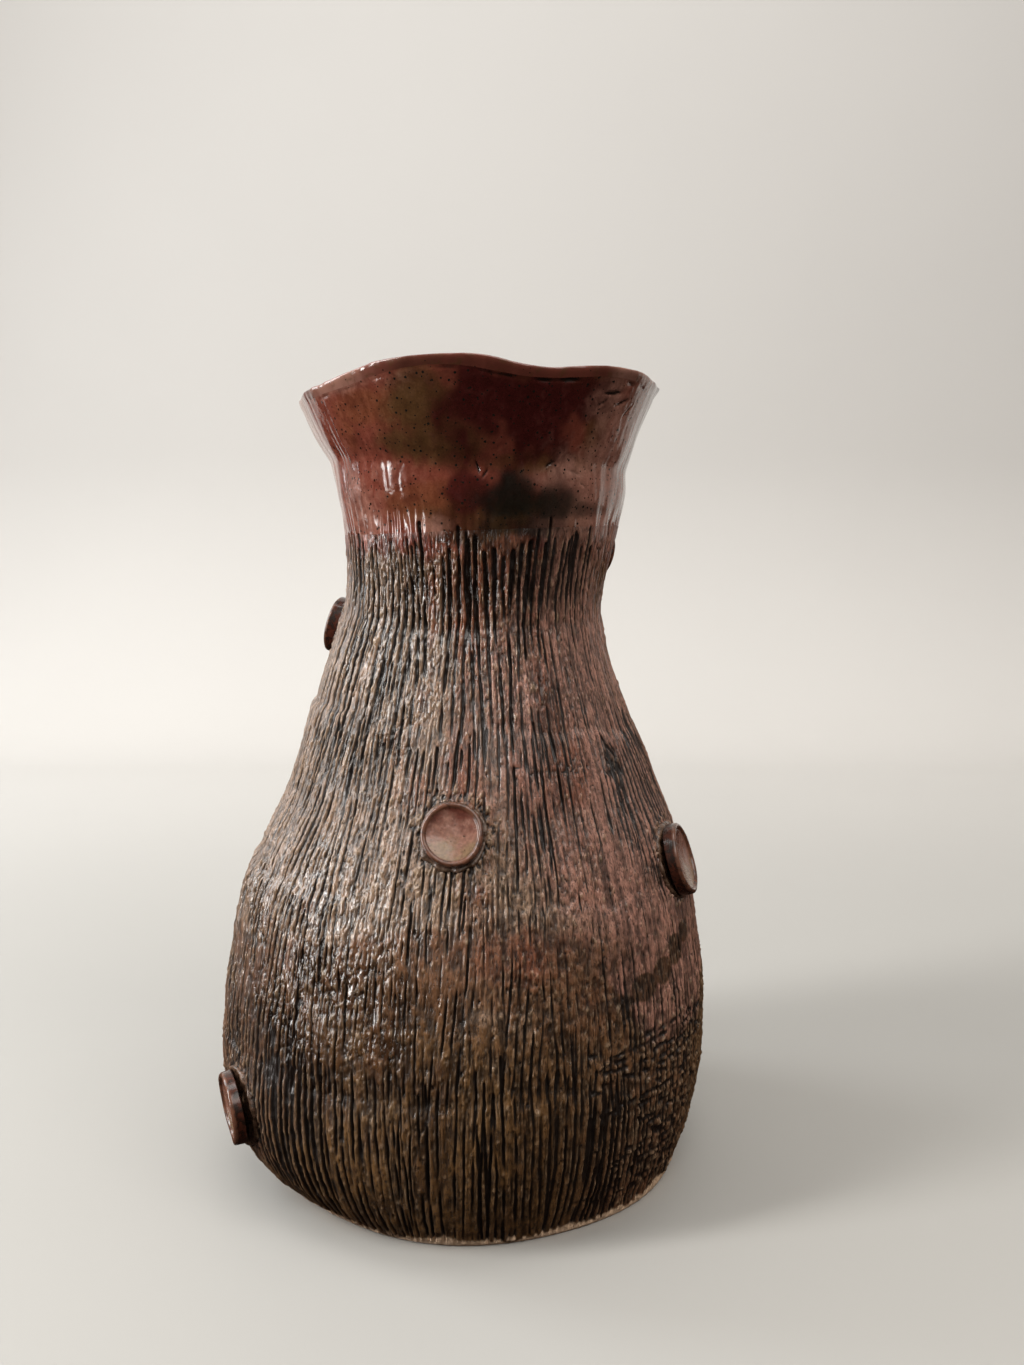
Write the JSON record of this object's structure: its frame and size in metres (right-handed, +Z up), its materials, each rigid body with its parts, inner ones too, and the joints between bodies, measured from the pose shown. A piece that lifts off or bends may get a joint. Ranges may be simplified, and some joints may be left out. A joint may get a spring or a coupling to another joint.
{
  "type": "stoneware vase",
  "caption": "Hand-built stoneware vase with a combed pear-shaped body, a waisted neck, a flared wavy collar and dished discs on the wall.",
  "frame": {"origin": "centre of the flat underside that the vase stands on", "axes": "+Z up out of the mouth; -Y towards the front, which carries the disc on the shoulder; +X to the right seen from the front"},
  "size_m": [0.1899, 0.1888, 0.2982],
  "materials": {
    "bare_clay": "matte",
    "combed_glaze": "satin",
    "collar_glaze": "gloss",
    "lip_glaze": "gloss",
    "disc_glaze": "gloss",
    "slip_glaze": "satin"
  },
  "bodies": {
    "root": {"base_slab": "bare_clay", "foot_course": "combed_glaze", "belly_course": "combed_glaze", "upper_belly_course": "combed_glaze", "shoulder_course": "combed_glaze", "upper_shoulder_course": "combed_glaze", "neck_course": "combed_glaze", "upper_neck_course": "combed_glaze", "collar_band": "collar_glaze", "collar_flare": "collar_glaze", "lip_coil": "lip_glaze", "front_disc": "disc_glaze", "right_disc": "disc_glaze", "left_disc": "disc_glaze", "neck_left_disc": "disc_glaze", "neck_right_disc": "disc_glaze", "back_low_disc": "disc_glaze", "back_shoulder_disc": "disc_glaze", "back_high_disc": "disc_glaze", "slip_pads": "slip_glaze"}
  },
  "joints": []
}
